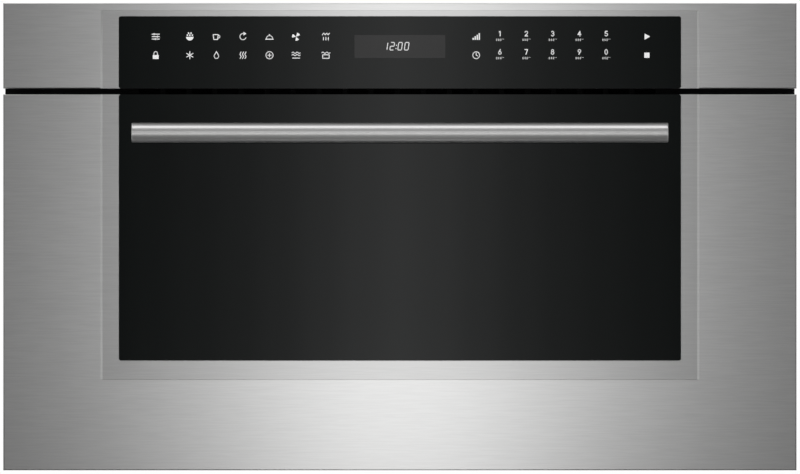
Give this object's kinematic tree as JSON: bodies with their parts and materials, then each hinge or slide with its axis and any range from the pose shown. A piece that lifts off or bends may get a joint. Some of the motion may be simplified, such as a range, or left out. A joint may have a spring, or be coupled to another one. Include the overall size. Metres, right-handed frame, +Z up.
{
  "type": "built-in speed oven",
  "caption": "Built-in speed oven: stainless drop-down door and control panel round black glass, with a bar handle, a cavity with turntable and grill, and a sheet-metal case.",
  "frame": {"origin": "middle of the cut-out's lower front edge: mid-width, on the cabinet face, at the underside of the base pan that stands on the shelf", "axes": "+X to the right seen from the front, +Y back into the cabinet, +Z up"},
  "size_m": [0.759, 0.6457, 0.447],
  "materials": {
    "front_steel": "fine horizontal brushing",
    "handle_steel": "satin, brushed along the tube",
    "outer_glass": "black, polished",
    "inner_glass": "clear, slightly smoked",
    "zinc_sheet": "galvanised",
    "screen": "black, perforated",
    "black_plastic": "satin",
    "black_enamel": "satin enamel",
    "cavity_steel": "soft satin stainless",
    "heater": "matt, heat-darkened",
    "zinc_screw": "zinc plated",
    "hinge_steel": "plated spring steel",
    "white_plastic": "moulded",
    "display": "dark display filter",
    "board": "solder mask",
    "fan_metal": "pressed sheet",
    "motor": "satin",
    "waveguide": "plain sheet",
    "mica": "pressed mica sheet",
    "transformer": "varnished laminations",
    "capacitor": "drawn can",
    "lamp": "plated sheet",
    "tray": "glazed",
    "roller_plastic": "heat-proof moulding",
    "inlet": "die cast"
  },
  "bodies": {
    "case": {"control_frame": "front_steel", "control_glass": "outer_glass", "base_pan": "zinc_sheet", "outer_cover": "zinc_sheet", "back_panel": "zinc_sheet", "component_tray": "zinc_sheet", "hinge_receivers": "zinc_sheet", "fan_chamber": "zinc_sheet", "control_carrier": "black_plastic", "blower_housing": "black_plastic", "front_frame": "black_enamel", "cavity_wrap": "cavity_steel", "cavity_ceiling": "cavity_steel", "cavity_back": "cavity_steel", "temperature_sensor": "cavity_steel", "convection_heater": "heater", "grill_element": "heater", "case_screws": "zinc_screw", "hinge_claws": "hinge_steel", "interlock_blocks": "white_plastic", "display_module": "display", "control_board": "board", "power_board": "board", "convection_motor": "motor", "blower_motor": "motor", "turntable_motor": "motor", "waveguide": "waveguide", "magnetron": "waveguide", "waveguide_cover": "mica", "hv_transformer": "transformer", "hv_capacitor": "capacitor", "oven_lamp": "lamp", "power_inlet": "inlet"},
    "door": {"door_skin": "front_steel", "door_glass": "outer_glass", "choke_frame": "zinc_sheet", "choke_cover": "black_plastic", "window_screen": "screen", "inner_glass": "inner_glass", "door_inner_panel": "zinc_sheet", "handle_tube": "handle_steel", "handle_end_caps": "handle_steel", "handle_posts": "handle_steel", "handle_screws": "zinc_screw", "hinge_boxes": "zinc_sheet", "hinge_pins": "hinge_steel", "hinge_spring_left": "hinge_steel", "hinge_spring_right": "hinge_steel"},
    "plunger_left": {"plunger_left": "hinge_steel"},
    "plunger_right": {"plunger_right": "hinge_steel"},
    "latch_left": {"latch_hook_left": "white_plastic"},
    "latch_right": {"latch_hook_right": "white_plastic"},
    "fan": {"convection_fan": "fan_metal"},
    "blower": {"blower_wheel": "black_plastic"},
    "turntable": {"turntable_coupler": "white_plastic", "turntable_tray": "tray"},
    "spider": {"roller_spider": "roller_plastic"},
    "roller_1": {"roller_1": "roller_plastic"},
    "roller_2": {"roller_2": "roller_plastic"},
    "roller_3": {"roller_3": "roller_plastic"}
  },
  "joints": [
    {"name": "door_hinge", "type": "hinge", "parent": "case", "child": "door", "pos_m": [0, -0.017, 0.006], "axis": [1, 0, 0], "range_deg": [0, 90], "stiffness_Nm_per_rad": 4, "springref_deg": -28.65},
    {"name": "plunger_slide_left", "type": "slide", "parent": "door", "child": "plunger_left", "axis": [0, 0, 1], "range_m": [0, 0.0061], "deforming": ["hinge_spring_left"]},
    {"name": "plunger_slide_right", "type": "slide", "parent": "door", "child": "plunger_right", "axis": [0, 0, 1], "range_m": [0, 0.0061], "deforming": ["hinge_spring_right"]},
    {"name": "latch_tilt_left", "type": "hinge", "parent": "door", "child": "latch_left", "pos_m": [-0.31175, -0.0142, 0.3177], "axis": [1, 0, 0], "range_deg": [0, 12], "stiffness_Nm_per_rad": 0.1, "springref_deg": -17.19},
    {"name": "latch_tilt_right", "type": "hinge", "parent": "door", "child": "latch_right", "pos_m": [0.31175, -0.0142, 0.3177], "axis": [1, 0, 0], "range_deg": [0, 12], "stiffness_Nm_per_rad": 0.1, "springref_deg": -17.19},
    {"name": "fan_spin", "type": "hinge", "parent": "case", "child": "fan", "pos_m": [0, 0.42, 0.207], "axis": [0, 1, 0], "continuous": true},
    {"name": "blower_spin", "type": "hinge", "parent": "case", "child": "blower", "pos_m": [-0.25, 0.47, 0.365], "axis": [1, 0, 0], "continuous": true},
    {"name": "turntable_spin", "type": "hinge", "parent": "case", "child": "turntable", "pos_m": [0, 0.195, 0.1], "axis": [0, 0, 1], "continuous": true},
    {"name": "spider_spin", "type": "hinge", "parent": "case", "child": "spider", "pos_m": [0, 0.195, 0.1], "axis": [0, 0, 1], "continuous": true},
    {"name": "roller_spin_1", "type": "hinge", "parent": "spider", "child": "roller_1", "pos_m": [0, 0.308, 0.1072], "axis": [0, 1, 0], "continuous": true},
    {"name": "roller_spin_2", "type": "hinge", "parent": "spider", "child": "roller_2", "pos_m": [-0.09786, 0.1385, 0.1072], "axis": [-0.866, -0.5, 0], "continuous": true},
    {"name": "roller_spin_3", "type": "hinge", "parent": "spider", "child": "roller_3", "pos_m": [0.09786, 0.1385, 0.1072], "axis": [0.866, -0.5, 0], "continuous": true}
  ],
  "couplings": [
    {"joint": "plunger_slide_left", "follows": "door_hinge", "m_per_rad": 0.0038197},
    {"joint": "plunger_slide_right", "follows": "door_hinge", "m_per_rad": 0.0038197},
    {"joint": "spider_spin", "follows": "turntable_spin", "ratio": 0.5},
    {"joint": "roller_spin_1", "follows": "turntable_spin", "ratio": -6.2778},
    {"joint": "roller_spin_2", "follows": "turntable_spin", "ratio": -6.2778},
    {"joint": "roller_spin_3", "follows": "turntable_spin", "ratio": -6.2778}
  ]
}
